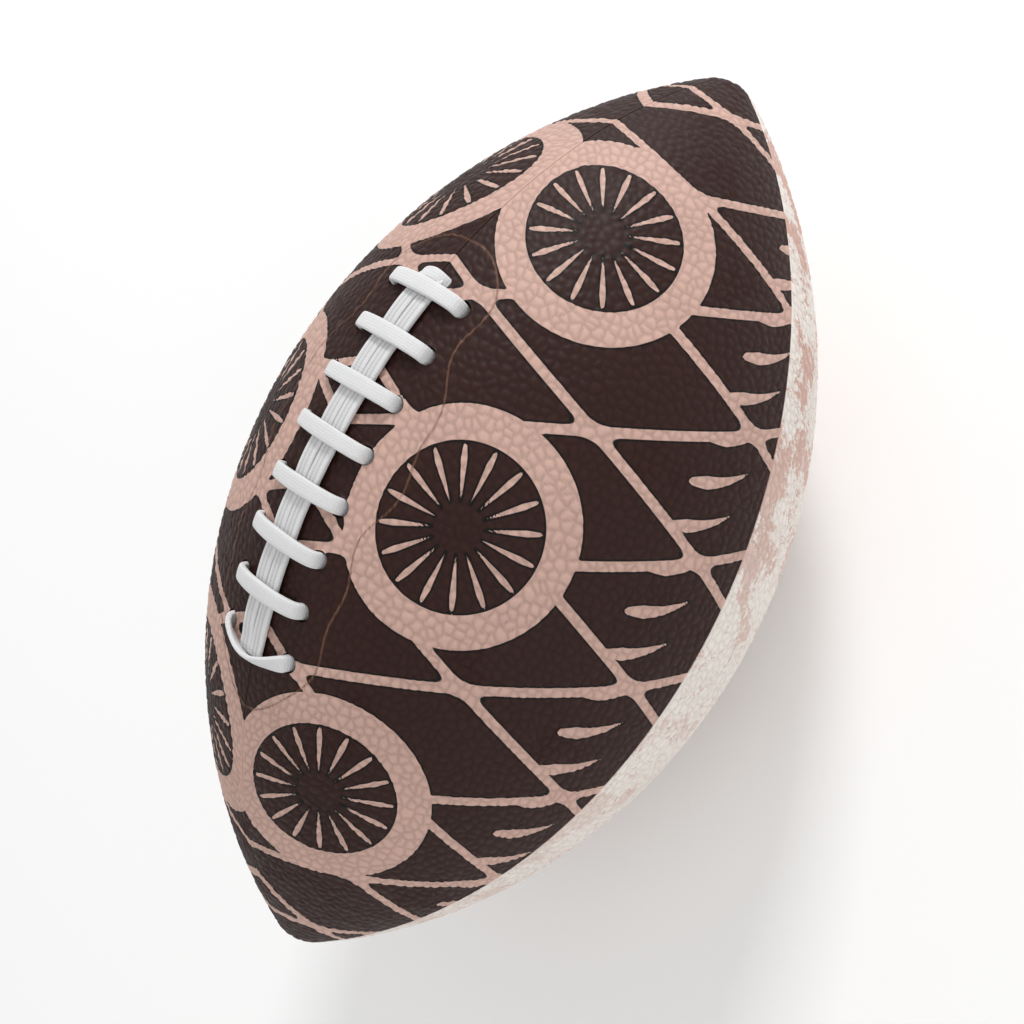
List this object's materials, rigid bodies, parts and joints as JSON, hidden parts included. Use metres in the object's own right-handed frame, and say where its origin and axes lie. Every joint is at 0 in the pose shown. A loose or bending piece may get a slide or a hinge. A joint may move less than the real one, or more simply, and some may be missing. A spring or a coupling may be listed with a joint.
{
  "type": "american football",
  "caption": "Laced ball of prolate shape, sewn from lens panels over padding, lining and a bladder, for throwing, carrying and kicking.",
  "frame": {"origin": "centre of the ball, where its long axis crosses the plane halfway between the noses", "axes": "+X along the long axis, towards the nose nearer the lace's fold; +Z out through the middle of the lacing; -Y towards the side seam between the printed panel and the marbled panel in front"},
  "size_m": [0.28, 0.156, 0.1601],
  "materials": {
    "bladder": "butyl rubber",
    "bobbin_thread": "waxed",
    "lace": "ribbed, coated",
    "lining": "laminated cotton weave",
    "marbled_cover": "pebbled, off-white marbled with rose pink",
    "needle_thread": "waxed",
    "padding": "closed-cell foam",
    "printed_cover": "pebbled, dark brown with rose pink print",
    "stay": "vinyl",
    "tongue": "vinyl",
    "valve_grommet": "moulded",
    "valve_housing": "moulded",
    "valve_plug": "moulded, greased"
  },
  "bodies": {
    "root": {"bladder": "bladder", "bobbin_thread_back": "bobbin_thread", "bobbin_thread_bottom": "bobbin_thread", "bobbin_thread_front": "bobbin_thread", "bobbin_thread_top_left": "bobbin_thread", "bobbin_thread_top_right": "bobbin_thread", "cover_bottom_back": "marbled_cover", "cover_bottom_front": "marbled_cover", "cover_top_back": "printed_cover", "cover_top_front": "printed_cover", "lace": "lace", "lace_stay_back": "stay", "lace_stay_front": "stay", "lacing_tongue": "tongue", "lining_bottom_back": "lining", "lining_bottom_front": "lining", "lining_top_back": "lining", "lining_top_front": "lining", "needle_thread_back": "needle_thread", "needle_thread_bottom": "needle_thread", "needle_thread_front": "needle_thread", "needle_thread_top_left": "needle_thread", "needle_thread_top_right": "needle_thread", "padding_bottom_back": "padding", "padding_bottom_front": "padding", "padding_top_back": "padding", "padding_top_front": "padding", "valve_grommet": "valve_grommet", "valve_housing": "valve_housing", "valve_plug": "valve_plug"}
  },
  "joints": []
}
